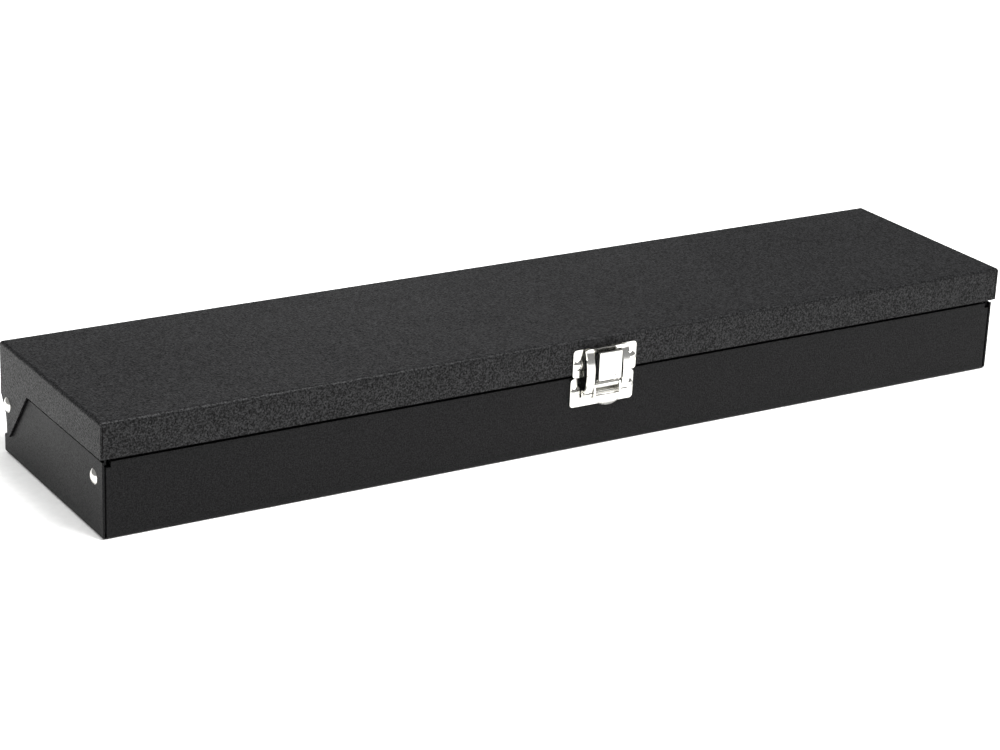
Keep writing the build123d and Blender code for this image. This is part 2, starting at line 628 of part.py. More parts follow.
# ---- drive squares ----------------------------------------------------------------------------------------
def drive_square(length):
    """A male drive square pointing to +Z from z = 0, with a chamfered end and a bore for its ball at +X."""
    half = DRIVE / 2
    square = block((-half, half), (-half, half), (0, length))
    square = chamfer(square.edges().group_by(Axis.Z)[-1], 1.0)
    square = chamfer([e for e in square.edges().filter_by(Axis.Z) if e.length > length / 2], 0.5)
    return square - rod("X", BALL_R + FIT, (half - BALL_BORE, half + 1), (0, length - BALL_BACK))


def drive_ball(length):
    """The retaining ball that fits drive_square(length), standing BALL_OUT proud of its +X side."""
    return Pos(DRIVE / 2 + BALL_OUT - BALL_R, 0, length - BALL_BACK) * Sphere(BALL_R)


def facing_x(shape):
    """A shape made along +Z with its ball at +X, turned to point along +X with its ball on top."""
    return Rot(0, 90, 0) * Rot(0, 0, 180) * shape


# ---- ratchet ----------------------------------------------------------------------------------------------
def teardrop(r1, r2, distance, z):
    """The hull of a circle r1 at the drive's axis and a circle r2 further along +X, from z[0] to z[1]."""
    slope = (r1 - r2) / distance
    rise = (1 - slope**2) ** 0.5
    x, y = RATCHET
    points = [
        (x + r1 * slope, y - r1 * rise),
        (x + distance + r2 * slope, y - r2 * rise),
        (x + distance + r2 * slope, y + r2 * rise),
        (x + r1 * slope, y + r1 * rise),
    ]
    return rod("Z", r1, z, (x, y)) + rod("Z", r2, z, (x + distance, y)) + plate_z(points, z)


def ratchet_body():
    """Handle and head in one forging: the head is a cup that the drive gear and the pawl sit in."""
    x, y = RATCHET
    top = HEAD_Z[1] - COVER
    body = teardrop(HEAD_R, NECK_R, NECK_X, (HEAD_Z[0], top))
    profile = [
        (NECK_X - 4, 0),
        (NECK_X - 4, 7.9),
        (NECK_X + 8, 7.9),
        (NECK_X + 42, 6.6),
        (NECK_X + 88, 6.6),
        (NECK_X + 92, 8.4),
        (NECK_X + 96, 8.4),
        (NECK_X + 98, RATCHET_GRIP_R),
        (RATCHET_END_X - x - 1.5, RATCHET_GRIP_R),
        (RATCHET_END_X - x, RATCHET_GRIP_R - 1.5),
    ]
    body += turned_x(profile, x, (y, RATCHET_Z))
    body -= rod("Z", GEAR_R + 0.4, (HEAD_Z[0] + HEAD_FLOOR, top + 1), (x, y))
    body -= rod("Z", PAWL_R + 0.4, (HEAD_Z[0] + HEAD_FLOOR, top + 1), (x + PAWL_PIVOT, y))
    body -= rod("Z", JOURNAL_R + FIT, (HEAD_Z[0] - 1, top), (x, y))
    for hole in screw_places():
        body -= rod("Z", SCREW_R, (top - SCREW_DEPTH, top + 1), hole)
    return body


def screw_places():
    x, y = RATCHET
    reach = (HEAD_R + GEAR_R) / 2
    return [(x + reach * cos(radians(a)), y + reach * sin(radians(a))) for a in (115, 245)]


def ratchet_cover():
    x, y = RATCHET
    low = HEAD_Z[1] - COVER
    cover = teardrop(HEAD_R - 0.6, NECK_R - 0.6, NECK_X, (low, HEAD_Z[1]))
    cover = chamfer(cover.edges().group_by(Axis.Z)[-1], 0.5)
    cover -= rod("Z", HUB_R + FIT, (low - 1, HEAD_Z[1] + 1), (x, y))
    cover -= rod("Z", SHAFT_R + FIT, (low - 1, HEAD_Z[1] + 1), (x + PAWL_PIVOT, y))
    for hole in screw_places():
        cover -= rod("Z", SCREW_R, (low - 1, HEAD_Z[1] + 1), hole)
        cover -= Pos(*hole, HEAD_Z[1] - SCREW_R / 2) * Cone(SCREW_R, 2 * SCREW_R, SCREW_R)
    return cover


def ratchet_screws():
    """Countersunk slotted screws that hold the cover down."""
    screws = Part()
    for hole in screw_places():
        screw = rod("Z", SCREW_R, (HEAD_Z[1] - COVER - SCREW_DEPTH, HEAD_Z[1] - SCREW_R), hole)
        screw += Pos(*hole, HEAD_Z[1] - SCREW_R / 2) * Cone(SCREW_R, 2 * SCREW_R, SCREW_R)
        slot = block((-3, 3), (-0.25, 0.25), (HEAD_Z[1] - 0.6, HEAD_Z[1] + 1))
        screws += screw - Pos(*hole, 0) * slot
    return screws


def drive_gear():
    """Toothed ring, journal, top hub and drive square in one piece, bored for the release button."""
    pitch = 2 * pi / GEAR_TEETH
    outline = []
    for tooth in range(GEAR_TEETH):
        outline.append((GEAR_R * cos(tooth * pitch), GEAR_R * sin(tooth * pitch)))
        valley = (tooth + 0.5) * pitch
        outline.append(((GEAR_R - TOOTH) * cos(valley), (GEAR_R - TOOTH) * sin(valley)))
    gear = plate_z(outline, GEAR_Z)
    gear += rod("Z", JOURNAL_R, (HEAD_Z[0] + 0.1, GEAR_Z[0]), (0, 0))
    gear += rod("Z", HUB_R, (GEAR_Z[1], HEAD_Z[1] - 0.3), (0, 0))
    gear += Pos(0, 0, HEAD_Z[0] + 0.1) * Rot(180, 0, 0) * drive_square(DRIVE_LENGTH)
    gear -= rod("Z", BUTTON_R + FIT, (BUTTON_SEAT, HEAD_Z[1]), (0, 0))
    gear -= rod("Z", STEM_R + FIT, (HEAD_Z[0] - DRIVE_LENGTH + 4.2, BUTTON_SEAT + 1), (0, 0))
    return Pos(*RATCHET, 0) * gear


def ratchet_ball():
    return Pos(*RATCHET, HEAD_Z[0] + 0.1) * Rot(180, 0, 0) * drive_ball(DRIVE_LENGTH)


def release_button():
    """Button on a long stem that reaches down to the ball."""
    top = HEAD_Z[1] + 2.0
    button = rod("Z", BUTTON_R, (BUTTON_SEAT + BUTTON_TRAVEL + 0.2, top), (0, 0))
    button = fillet(button.edges().group_by(Axis.Z)[-1], 0.8)
    button += rod("Z", STEM_R, (HEAD_Z[0] - DRIVE_LENGTH + 6.0, BUTTON_SEAT + 3), (0, 0))
    return Pos(*RATCHET, 0) * button


def pawl():
    """Rocking pawl with a nose on each side, tilted towards one side and just clear of the teeth."""
    x, y = RATCHET
    piece = rod("Z", PAWL_R, PAWL_Z, (x + PAWL_PIVOT, y))
    piece -= rod("Z", GEAR_R + 0.85, (PAWL_Z[0] - 1, PAWL_Z[1] + 1), (x, y))
    piece -= rod("Z", SHAFT_R + FIT, (PAWL_Z[0] - 1, PAWL_Z[1] + 1), (x + PAWL_PIVOT, y))
    return piece.rotate(Axis((x + PAWL_PIVOT, y, 0), (0, 0, 1)), PAWL_TILT)


def selector():
    """Thumb lever on the head; its shaft is also the pawl's pivot."""
    x, y = RATCHET[0] + PAWL_PIVOT, RATCHET[1]
    z = (HEAD_Z[1] + 0.1, HEAD_Z[1] + 2.7)
    lever = rod("Z", 5.6, z, (x, y)) + rod("Z", 3.0, z, (x + 12, y))
    lever += plate_z([(x, y - 5.4), (x + 12, y - 3.0), (x + 12, y + 3.0), (x, y + 5.4)], z)
    lever = chamfer(lever.edges().group_by(Axis.Z)[-1], 0.5)
    lever += rod("Z", SHAFT_R, (HEAD_Z[0] + HEAD_FLOOR + 0.2, z[1] - 0.5), (x, y))
    return lever.rotate(Axis((x, y, 0), (0, 0, 1)), SELECTOR_TILT)


# ---- flex handle ------------------------------------------------------------------------------------------
def flex_handle():
    """Long bar with a fork at one end, a plain shank and a thicker grip."""
    x, y = FLEX_PIN
    profile = [
        (-FORK_R, 0),
        (-FORK_R, FORK_R),
        (FLEX_TAPER[0] - x, FORK_R),
        (FLEX_TAPER[1] - x, SHANK_R),
        (FLEX_GRIP_X - x - 3, SHANK_R),
        (FLEX_GRIP_X - x, FLEX_GRIP_R - 1.0),
        (FLEX_GRIP_X - x + 4, FLEX_GRIP_R - 1.0),
        (FLEX_GRIP_X - x + 5, FLEX_GRIP_R),
        (FLEX_END_X - x - 1.5, FLEX_GRIP_R),
        (FLEX_END_X - x, FLEX_GRIP_R - 1.5),
    ]
    bar = turned_x(profile, x, (y, FLEX_Z))
    rounded = rod("Y", EAR_R, (y - 12, y + 12), (x, FLEX_Z))
    rounded += block((x, FLEX_END_X + 1), (y - 12, y + 12), (FLEX_Z - 12, FLEX_Z + 12))
    bar = bar & rounded
    bar -= block((x - 12, x + 2), (y - TONGUE - 0.2, y + TONGUE + 0.2), (FLEX_Z - 13, FLEX_Z + 13))
    bar -= rod("Y", TONGUE_R + 1.2, (y - TONGUE - 0.2, y + TONGUE + 0.2), (x, FLEX_Z))
    # room for the tongue's shoulder when the head is turned up
    shoulder_x = (x - TONGUE_R, x + TONGUE + 0.6)
    bar -= block(shoulder_x, (y - TONGUE - 0.2, y + TONGUE + 0.2), (FLEX_Z, FLEX_Z + 13))
    return bar - rod("Y", FLEX_PIN_R, (y - 13, y + 13), (x, FLEX_Z))


def flex_pin():
    x, y = FLEX_PIN
    return rod("Y", FLEX_PIN_R, (y - 10.2, y + 10.2), (x, FLEX_Z))


def flex_head():
    """Tongue on the pin, round collar and drive square."""
    x, y = FLEX_PIN
    collar = (x - FLEX_HEAD + DRIVE_LENGTH, x - FLEX_HEAD + DRIVE_LENGTH + 3)
    head = rod("Y", TONGUE_R, (y - TONGUE, y + TONGUE), (x, FLEX_Z))
    head += block((collar[0] + 1, x), (y - TONGUE, y + TONGUE), (FLEX_Z - TONGUE, FLEX_Z + TONGUE))
    head += rod("X", 9.4, collar, (y, FLEX_Z))
    head += Pos(collar[0], y, FLEX_Z) * Rot(0, -90, 0) * drive_square(DRIVE_LENGTH)
    return head - rod("Y", FLEX_PIN_R + FIT, (y - 13, y + 13), (x, FLEX_Z))


def flex_ball():
    x, y = FLEX_PIN
    return Pos(x - FLEX_HEAD + DRIVE_LENGTH, y, FLEX_Z) * Rot(0, -90, 0) * drive_ball(DRIVE_LENGTH)


# ---- extension bar ----------------------------------------------------------------------------------------
def extension_bar():
    x0, x1 = EXTENSION_X
    collar = x1 - DRIVE_LENGTH
    profile = [
        (0, 0),
        (0, EXTENSION_R - 0.8),
        (0.8, EXTENSION_R),
        (25, EXTENSION_R),
        (31, 7.2),
        (collar - x0 - 12, 7.2),
        (collar - x0 - 9, 8.8),
        (collar - x0, 8.8),
    ]
    bar = turned_x(profile, x0, (EXTENSION_Y, EXTENSION_Z))
    bar -= block((x0 - 1, x0 + FEMALE_DEPTH), *square_hole(EXTENSION_Y, EXTENSION_Z))
    return bar + Pos(collar, EXTENSION_Y, EXTENSION_Z) * facing_x(drive_square(DRIVE_LENGTH))


def extension_ball():
    collar = EXTENSION_X[1] - DRIVE_LENGTH
    return Pos(collar, EXTENSION_Y, EXTENSION_Z) * facing_x(drive_ball(DRIVE_LENGTH))


# ---- universal joint --------------------------------------------------------------------------------------
def yoke(base_x, side_axis):
    """Round base from base_x[0] to base_x[1] and two ears round the cross at x = 0, across side_axis."""
    body = rod("X", YOKE_R, base_x, (0, 0))
    towards = base_x[1] if base_x[1] < 0 else base_x[0]
    ear_x = (min(towards, 0), max(towards, 0))
    half = YOKE_EAR_R
    if side_axis == "Y":
        ears = block(ear_x, (-YOKE_R, YOKE_R), (-half, half))
        gap = block((-YOKE_THROAT, YOKE_THROAT), (-YOKE_GAP, YOKE_GAP), (-13, 13))
    else:
        ears = block(ear_x, (-half, half), (-YOKE_R, YOKE_R))
        gap = block((-YOKE_THROAT, YOKE_THROAT), (-13, 13), (-YOKE_GAP, YOKE_GAP))
    ears += rod(side_axis, half, (-YOKE_R, YOKE_R), (0, 0))
    ears = ears & rod("X", YOKE_R, (-20, 20), (0, 0))
    # the ears' free ends are ball-shaped, so that they clear the tray when the joint tilts
    ears = ears & (Sphere(YOKE_R) + block(ear_x, (-YOKE_R, YOKE_R), (-YOKE_R, YOKE_R)))
    bore = rod(side_axis, TRUNNION_R + FIT, (-13, 13), (0, 0))
    return body + ears - gap - bore


def female_yoke():
    body = yoke((-YOKE_BACK, -YOKE_THROAT), "Y")
    body -= block((-YOKE_BACK - 1, -YOKE_BACK + FEMALE_DEPTH), *square_hole(0, 0))
    return Pos(*CROSS) * body


def male_yoke():
    collar = YOKE_FRONT - DRIVE_LENGTH
    body = yoke((YOKE_THROAT, collar), "Z")
    return Pos(*CROSS) * (body + Pos(collar, 0, 0) * facing_x(drive_square(DRIVE_LENGTH)))


def joint_cross():
    half = YOKE_GAP - 0.4
    reach = YOKE_R - 0.8
    body = block((-half, half), (-half, half), (-half, half))
    body = chamfer(body.edges(), 0.6)
    body += rod("Y", TRUNNION_R, (-reach, reach), (0, 0)) + rod("Z", TRUNNION_R, (-reach, reach), (0, 0))
    return Pos(*CROSS) * body


def joint_ball():
    collar = YOKE_FRONT - DRIVE_LENGTH
    return Pos(*CROSS) * Pos(collar, 0, 0) * facing_x(drive_ball(DRIVE_LENGTH))


def main():
    pieces = {
        "base_tray": base_tray(),
        "lid_shell": lid_shell(),
        "hinge_rivets": hinge_rivets(),
        "corner_rivets": corner_rivets(),
        "latch_keeper": latch_keeper(),
        "latch_base_plate": latch_base_plate(),
        "latch_lever": latch_lever(),
        "latch_bail": latch_bail(),
        "latch_lever_pin": latch_pin(LEVER_PIVOT, FLANGE_X[1] + 0.1),
        "latch_bail_pin": latch_pin(BAIL_PIVOT, ARM_X[1] + 0.3),
        "latch_keeper_rivets": latch_rivets(FRONT, KEEPER_RIVET_Z),
        "latch_base_rivets": latch_rivets(BASE_FRONT, CATCH_RIVET_Z),
        "foam_floor": foam_floor(),
        "foam_socket_bed_left": socket_bed(10, 15, (-FOAM_X, BED_SPLIT_X)),
        "foam_socket_bed_right": socket_bed(16, 22, (BED_SPLIT_X, BED_RIGHT_X)),
        "foam_joint_bed": joint_bed(),
        "foam_handle_bed": handle_bed(),
        "ratchet_body": ratchet_body(),
        "ratchet_cover": ratchet_cover(),
        "ratchet_screws": ratchet_screws(),
        "ratchet_drive_gear": drive_gear(),
        "ratchet_ball": ratchet_ball(),
        "ratchet_release_button": release_button(),
        "ratchet_pawl": pawl(),
        "ratchet_selector": selector(),
        "flex_handle": flex_handle(),
        "flex_handle_pin": flex_pin(),
        "flex_head": flex_head(),
        "flex_head_ball": flex_ball(),
        "extension_bar": extension_bar(),
        "extension_ball": extension_ball(),
        "universal_joint_female_yoke": female_yoke(),
        "universal_joint_cross": joint_cross(),
        "universal_joint_male_yoke": male_yoke(),
        "universal_joint_ball": joint_ball(),
    }
    for size, x in socket_places():
        pieces[f"socket_{size}mm"] = socket(size, x)
    os.makedirs("parts", exist_ok=True)
    for name, shape in pieces.items():
        export_step(shape, f"parts/{name}.step")
        print(name, round(shape.volume, 1))


main()
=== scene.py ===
# %% [markdown]
# # A socket wrench set in its steel case
# The case, the latch and the tools arrive as a fixed, measured model. This file gives them their looks: coats of
# powder paint, bright nickel, satin chrome, foam, and the small things a maker adds last, such as knurled grips,
# printed size numbers and weld beads. Everything is in metres, in the model's own frame.

# %% Load the measured model
import bpy
import bmesh
import math
from mathutils import Matrix, Vector, noise


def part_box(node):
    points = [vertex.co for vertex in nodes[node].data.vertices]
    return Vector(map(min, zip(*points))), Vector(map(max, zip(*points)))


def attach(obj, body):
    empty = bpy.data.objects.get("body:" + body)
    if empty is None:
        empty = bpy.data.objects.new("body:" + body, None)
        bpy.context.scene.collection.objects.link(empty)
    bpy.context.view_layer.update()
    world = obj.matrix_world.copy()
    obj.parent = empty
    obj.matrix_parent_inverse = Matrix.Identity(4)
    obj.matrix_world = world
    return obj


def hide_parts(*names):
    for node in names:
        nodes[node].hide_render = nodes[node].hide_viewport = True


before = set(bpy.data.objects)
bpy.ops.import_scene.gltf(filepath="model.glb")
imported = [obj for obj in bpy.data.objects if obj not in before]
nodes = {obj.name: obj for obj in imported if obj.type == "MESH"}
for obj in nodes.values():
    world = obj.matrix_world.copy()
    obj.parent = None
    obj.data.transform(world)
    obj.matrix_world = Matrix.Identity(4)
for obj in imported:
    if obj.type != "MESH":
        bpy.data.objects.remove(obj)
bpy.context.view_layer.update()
MM = 0.001

# %% [markdown]
# ## Colour and node helpers
# Colours are written as the hex values a painter's chart would give, and the renderer wants linear light, so one
# function converts them. A second small function adds a shader node with its settings and its links, which keeps
# every material below short. Pattern scales are given as the real size of one grain in millimetres.

# %% Colour and node helpers
def linear(hex_code):
    """A painter's hex colour as linear red, green, blue and full opacity."""
    channels = [int(hex_code[i:i + 2], 16) / 255 for i in (1, 3, 5)]
    return tuple(c / 12.92 if c <= 0.04045 else ((c + 0.055) / 1.055) ** 2.4 for c in channels) + (1.0,)


def add(tree, kind, links=(), **settings):
    """Adds a node. Settings name its properties or, after in_, its inputs; links are (input, source socket)."""
    made = tree.nodes.new(kind)
    for key, value in settings.items():
        if key.startswith("in_"):
            made.inputs[key[3:].replace("_", " ")].default_value = value
        else:
            setattr(made, key, value)
    for name, source in links:
        tree.links.new(source, made.inputs[name])
    return made


def per_metre(grain_mm):
    """Texture scale at which one grain is grain_mm across."""
    return 1.0 / (grain_mm * MM)


def ramp(tree, source, stops):
    """A colour ramp over a 0-to-1 value; stops are (position, hex colour)."""
    made = add(tree, "ShaderNodeValToRGB", [("Fac", source)])
    while len(made.color_ramp.elements) < len(stops):
        made.color_ramp.elements.new(0.5)
    for element, (position, code) in zip(made.color_ramp.elements, stops):
        element.position = position
        element.color = linear(code)
    return made.outputs["Color"]


def spread(tree, source, low, high):
    """Maps a 0-to-1 value to the range low to high."""
    return add(tree, "ShaderNodeMapRange", [("Value", source)], in_To_Min=low, in_To_Max=high).outputs["Result"]


def start_material(name):
    """A new material with only a Principled shader; returns it with its tree, shader and object coordinates."""
    made = bpy.data.materials.new(name)
    made.use_nodes = True
    tree = made.node_tree
    tree.nodes.clear()
    shader = add(tree, "ShaderNodeBsdfPrincipled")
    add(tree, "ShaderNodeOutputMaterial", [("Surface", shader.outputs["BSDF"])])
    place = add(tree, "ShaderNodeTexCoord").outputs["Object"]
    return made, tree, shader, place


def join(tree, shader, **sources):
    """Links sources to the shader's inputs, with _ for a space in the input's name."""
    for name, source in sources.items():
        tree.links.new(source, shader.inputs[name.replace("_", " ")])


# %% [markdown]
# ## Wrinkle powder coat
# The lid is sprayed with polyester powder that shrinks as it bakes and pulls itself into a fine leather-like grain,
# a little over half a millimetre from crest to crest. The eye reads it as dark charcoal with tiny glints, because the
# smooth crests shine and the pinched valleys don't. A displaced mesh would need millions of faces, so the grain is a
# bump, and the same pattern turns the shine up on the crests and down in the valleys. It also paints the crests'
# colour lighter as painted glints and the valleys' colour darker as painted shade.

# %% Wrinkle powder coat
WRINKLE = 0.62  # millimetres from crest to crest
WRINKLE_GRAIN = WRINKLE * 1.2  # the finer noise that colours the crests
WRINKLE_PATCH = 70  # millimetres over which the roughness wanders
WRINKLE_DEPTH = 0.18  # millimetres
POLYMER_IOR = 1.5


def wrinkle_powder_coat():
    made, tree, shader, place = start_material("wrinkle_powder_coat_black")
    cells = add(tree, "ShaderNodeTexVoronoi", [("Vector", place)], feature="SMOOTH_F1",
                in_Scale=per_metre(WRINKLE), in_Smoothness=0.5, in_Randomness=1.0).outputs["Distance"]
    fine = add(tree, "ShaderNodeTexNoise", [("Vector", place)], in_Scale=per_metre(WRINKLE_GRAIN),
               in_Detail=3.0, in_Roughness=0.6).outputs["Fac"]
    cloud = add(tree, "ShaderNodeTexNoise", [("Vector", place)], in_Scale=per_metre(WRINKLE_PATCH), in_Detail=4.0,
                in_Roughness=0.6).outputs["Fac"]
    crest = add(tree, "ShaderNodeMath", [(0, cells), (1, fine)], operation="ADD").outputs[0]
    # painted glints and painted shade: the base colour is lighter where the fine grain rises to a crest and darker in
    # its valleys
    colour = ramp(tree, fine, [(0.36, "#090909"), (0.5, "#121213"), (0.66, "#242425")])
    shine = add(tree, "ShaderNodeMapRange", [("Value", fine)], in_From_Min=0.36, in_From_Max=0.66,
                in_To_Min=0.04, in_To_Max=0.24).outputs["Result"]
    bump = add(tree, "ShaderNodeBump", [("Height", crest)], in_Strength=0.6, in_Distance=WRINKLE_DEPTH * MM)
    join(tree, shader, Base_Color=colour, Roughness=spread(tree, cloud, 0.38, 0.56), Specular_IOR_Level=shine,
         Normal=bump.outputs["Normal"])
    shader.inputs["IOR"].default_value = POLYMER_IOR
    return made


# %% [markdown]
# ## Satin powder coat
# The base wears a smoother black powder, with only the shallow orange peel that every sprayed coat has, a few
# millimetres across, over a fine grain. It is darker than the lid and hardly shines. Two weak noises are enough.

# %% Satin powder coat
ORANGE_PEEL = 2.2  # millimetres
SATIN_GRAIN = 0.6
SATIN_PATCH = 45
SATIN_DEPTH = 0.05


def satin_powder_coat():
    made, tree, shader, place = start_material("satin_powder_coat_black")
    peel = add(tree, "ShaderNodeTexNoise", [("Vector", place)], in_Scale=per_metre(ORANGE_PEEL),
               in_Detail=2.0).outputs["Fac"]
    grain = add(tree, "ShaderNodeTexNoise", [("Vector", place)], in_Scale=per_metre(SATIN_GRAIN), in_Detail=3.0,
                in_Roughness=0.65).outputs["Fac"]
    cloud = add(tree, "ShaderNodeTexNoise", [("Vector", place)], in_Scale=per_metre(SATIN_PATCH),
                in_Detail=3.0).outputs["Fac"]
    height = add(tree, "ShaderNodeMath", [(0, peel), (1, grain)], operation="ADD").outputs[0]
    bump = add(tree, "ShaderNodeBump", [("Height", height)], in_Strength=0.3, in_Distance=SATIN_DEPTH * MM)
    colour = ramp(tree, grain, [(0.32, "#080808"), (0.5, "#0b0b0c"), (0.68, "#101011")])
    shine = add(tree, "ShaderNodeMapRange", [("Value", grain)], in_From_Min=0.35, in_From_Max=0.65,
                in_To_Min=0.05, in_To_Max=0.15).outputs["Result"]
    join(tree, shader, Base_Color=colour, Roughness=spread(tree, cloud, 0.4, 0.5), Specular_IOR_Level=shine,
         Normal=bump.outputs["Normal"])
    shader.inputs["IOR"].default_value = POLYMER_IOR
    return made


# %% [markdown]
# ## Metals
# Every metal here is one recipe with different numbers: a plated or oxidised steel, fully metallic, whose roughness
# wanders a little and whose polish lines run one way. Bright nickel on the latch is barrel plated and nearly a
# mirror; satin chrome on the tools is blasted first; hardened steel is left black from its oxide bath.

# %% Metals
METAL_SMEAR = 9  # millimetres over which the plating's colour and roughness wander


def plated_metal(name, dark, light, roughness, line_mm, line_depth_mm, stretch):
    """stretch divides the coordinate along the polish lines, so that grains become lines."""
    made, tree, shader, place = start_material(name)
    mapped = add(tree, "ShaderNodeMapping", [("Vector", place)], in_Scale=stretch).outputs["Vector"]
    lines = add(tree, "ShaderNodeTexNoise", [("Vector", mapped)], in_Scale=per_metre(line_mm), in_Detail=3.0,
                in_Roughness=0.6).outputs["Fac"]
    smear = add(tree, "ShaderNodeTexNoise", [("Vector", place)], in_Scale=per_metre(METAL_SMEAR),
                in_Detail=3.0).outputs["Fac"]
    bump = add(tree, "ShaderNodeBump", [("Height", lines)], in_Strength=0.3, in_Distance=line_depth_mm * MM)
    join(tree, shader, Base_Color=ramp(tree, smear, [(0.3, dark), (0.7, light)]),
         Roughness=spread(tree, smear, *roughness), Normal=bump.outputs["Normal"])
    shader.inputs["Metallic"].default_value = 1.0
    return made


def bright_nickel_plate():
    return plated_metal("bright_nickel_plate", "#dcdbd6", "#efeeea", (0.1, 0.2), 0.5, 0.006, (0.15, 1, 1))


def satin_chrome_plate():
    return plated_metal("satin_chrome_plate", "#b9bcc0", "#d2d4d6", (0.2, 0.3), 0.3, 0.004, (0.1, 1, 1))


def polished_chrome_plate():
    return plated_metal("polished_chrome_plate", "#c6c9cc", "#dddfe1", (0.07, 0.15), 0.4, 0.003, (1, 1, 0.2))


def black_oxide_steel():
    return plated_metal("black_oxide_steel", "#3a3a3d", "#55555a", (0.32, 0.45), 0.35, 0.006, (1, 1, 0.3))


# %% [markdown]
# ## Closed-cell foam
# The insert is EVA foam cut with a water jet. Its skin is matt and very dark, pitted with cells 0.3 to 0.6 mm wide,
# drawn at 0.6 mm so that they show. The colour is painted darker towards the middle of each pit as painted shade.
# A little sheen stands for the light that catches in the open cells.

# %% Closed-cell foam
FOAM_CELL = 0.6  # millimetres
FOAM_CELL_DEPTH = 0.12
FOAM_PATCH = 20
INK_SPECK = 0.5


def cut_foam():
    made, tree, shader, place = start_material("eva_foam_cut")
    cells = add(tree, "ShaderNodeTexVoronoi", [("Vector", place)], in_Scale=per_metre(FOAM_CELL)).outputs["Distance"]
    cloud = add(tree, "ShaderNodeTexNoise", [("Vector", place)], in_Scale=per_metre(FOAM_PATCH),
                in_Detail=4.0).outputs["Fac"]
    bump = add(tree, "ShaderNodeBump", [("Height", cells)], in_Strength=0.5, in_Distance=FOAM_CELL_DEPTH * MM)
    # painted shade: the colour darkens towards the middle of each cell, where the bump sinks into a pit
    colour = ramp(tree, cells, [(0.05, "#161618"), (0.4, "#232326"), (0.8, "#2e2e32")])
    join(tree, shader, Base_Color=colour, Roughness=spread(tree, cloud, 0.85, 0.97), Normal=bump.outputs["Normal"])
    shader.inputs["Sheen Weight"].default_value = 0.15
    return made


def screen_print():
    """White pad-printed ink, thin enough for the foam's cells to break it up a little."""
    made, tree, shader, place = start_material("white_pad_print")
    wear = add(tree, "ShaderNodeTexNoise", [("Vector", place)], in_Scale=per_metre(INK_SPECK),
               in_Detail=4.0).outputs["Fac"]
    join(tree, shader, Base_Color=ramp(tree, wear, [(0.3, "#9a9a98"), (0.5, "#d6d6d2")]),
         Roughness=spread(tree, wear, 0.55, 0.75))
    return made


# %% [markdown]
# ## Crisp corners
# The parts arrive as triangles. A weld joins them, every fold sharper than 35 degrees is marked as a hard edge, and a
# narrow bevel then rounds it, because no real edge is perfectly sharp and the thin highlight along it is what makes
# metal look like metal. The marking is a small node group, so that one copy serves every part.

# %% Crisp corners
HARD_ANGLE = math.radians(35)
WELD_GAP = 0.002 * MM  # vertices closer than this are one
BEVEL_SEGMENTS = 2


def hard_edge_group():
    group = bpy.data.node_groups.new("hard_edges", "GeometryNodeTree")
    group.interface.new_socket("Geometry", in_out="INPUT", socket_type="NodeSocketGeometry")
    group.interface.new_socket("Geometry", in_out="OUTPUT", socket_type="NodeSocketGeometry")
    start = group.nodes.new("NodeGroupInput")
    angle = group.nodes.new("GeometryNodeInputMeshEdgeAngle")
    over = group.nodes.new("FunctionNodeCompare")
    over.operation = "GREATER_THAN"
    over.inputs["B"].default_value = HARD_ANGLE
    normal = group.nodes.new("GeometryNodeSetMeshNormal")
    normal.mode = "SHARPNESS"
    end = group.nodes.new("NodeGroupOutput")
    group.links.new(angle.outputs["Unsigned Angle"], over.inputs["A"])
    group.links.new(start.outputs["Geometry"], normal.inputs["Mesh"])
    group.links.new(over.outputs["Result"], normal.inputs["Edge Sharpness"])
    group.links.new(normal.outputs["Mesh"], end.inputs["Geometry"])
    return group


hard_edges = hard_edge_group()


def soften(piece, width_mm):
    """Welds a piece's triangles, marks its hard edges and rounds them to width_mm."""
    piece.data.polygons.foreach_set("use_smooth", [True] * len(piece.data.polygons))
    weld = piece.modifiers.new("weld", "WELD")
    weld.merge_threshold = WELD_GAP
    mark = piece.modifiers.new("hard_edges", "NODES")
    mark.node_group = hard_edges
    bevel = piece.modifiers.new("edges", "BEVEL")
    bevel.width = width_mm * MM
    bevel.segments = BEVEL_SEGMENTS
    bevel.limit_method = "ANGLE"
    bevel.angle_limit = HARD_ANGLE
    bevel.harden_normals = True


# %% [markdown]
# ## Dress the model's own parts
# The sheet, the latch and the tools already have their true shapes, so they keep them and get a finish by what they
# are. Thin sheet has a sheared edge only slightly broken by its coat, and a forged tool has a larger one.

# %% Dress the model's own parts
materials = {
    "wrinkle": wrinkle_powder_coat(),
    "satin_coat": satin_powder_coat(),
    "nickel": bright_nickel_plate(),
    "satin_chrome": satin_chrome_plate(),
    "chrome": polished_chrome_plate(),
    "oxide": black_oxide_steel(),
    "foam": cut_foam(),
    "print": screen_print(),
}
SHEET_EDGE = 0.18  # millimetres
LATCH_EDGE = 0.12
TOOL_EDGE = 0.25
PIN_EDGE = 0.2
FOAM_EDGE = 0.5
FINISHES = {
    "lid_shell": ("wrinkle", SHEET_EDGE),
    "base_tray": ("satin_coat", SHEET_EDGE),
    "flex_handle_pin": ("satin_chrome", PIN_EDGE),
}


def finish_of(name):
    """Which material a part has, and the width of its edges' rounding in millimetres."""
    if name in FINISHES:
        return FINISHES[name]
    if name.startswith("foam"):
        return ("foam", FOAM_EDGE)
    if name.startswith("latch") or name.endswith("rivets"):
        return ("nickel", LATCH_EDGE)
    if name.startswith("socket"):
        return ("chrome", TOOL_EDGE)
    if name.endswith(("ball", "button", "pawl", "gear", "screws", "cross")):
        return ("oxide", LATCH_EDGE)
    return ("satin_chrome", TOOL_EDGE)


for name, part in sorted(nodes.items()):
    material, edge = finish_of(name)
    part.data.materials.clear()
    part.data.materials.append(materials[material])
    if material != "foam":
        soften(part, edge)
print("dressed", len(nodes), "parts")

# %% [markdown]
# ## New pieces
# Everything added from here on is made as a mesh, takes one material and rides on the body that carries it.

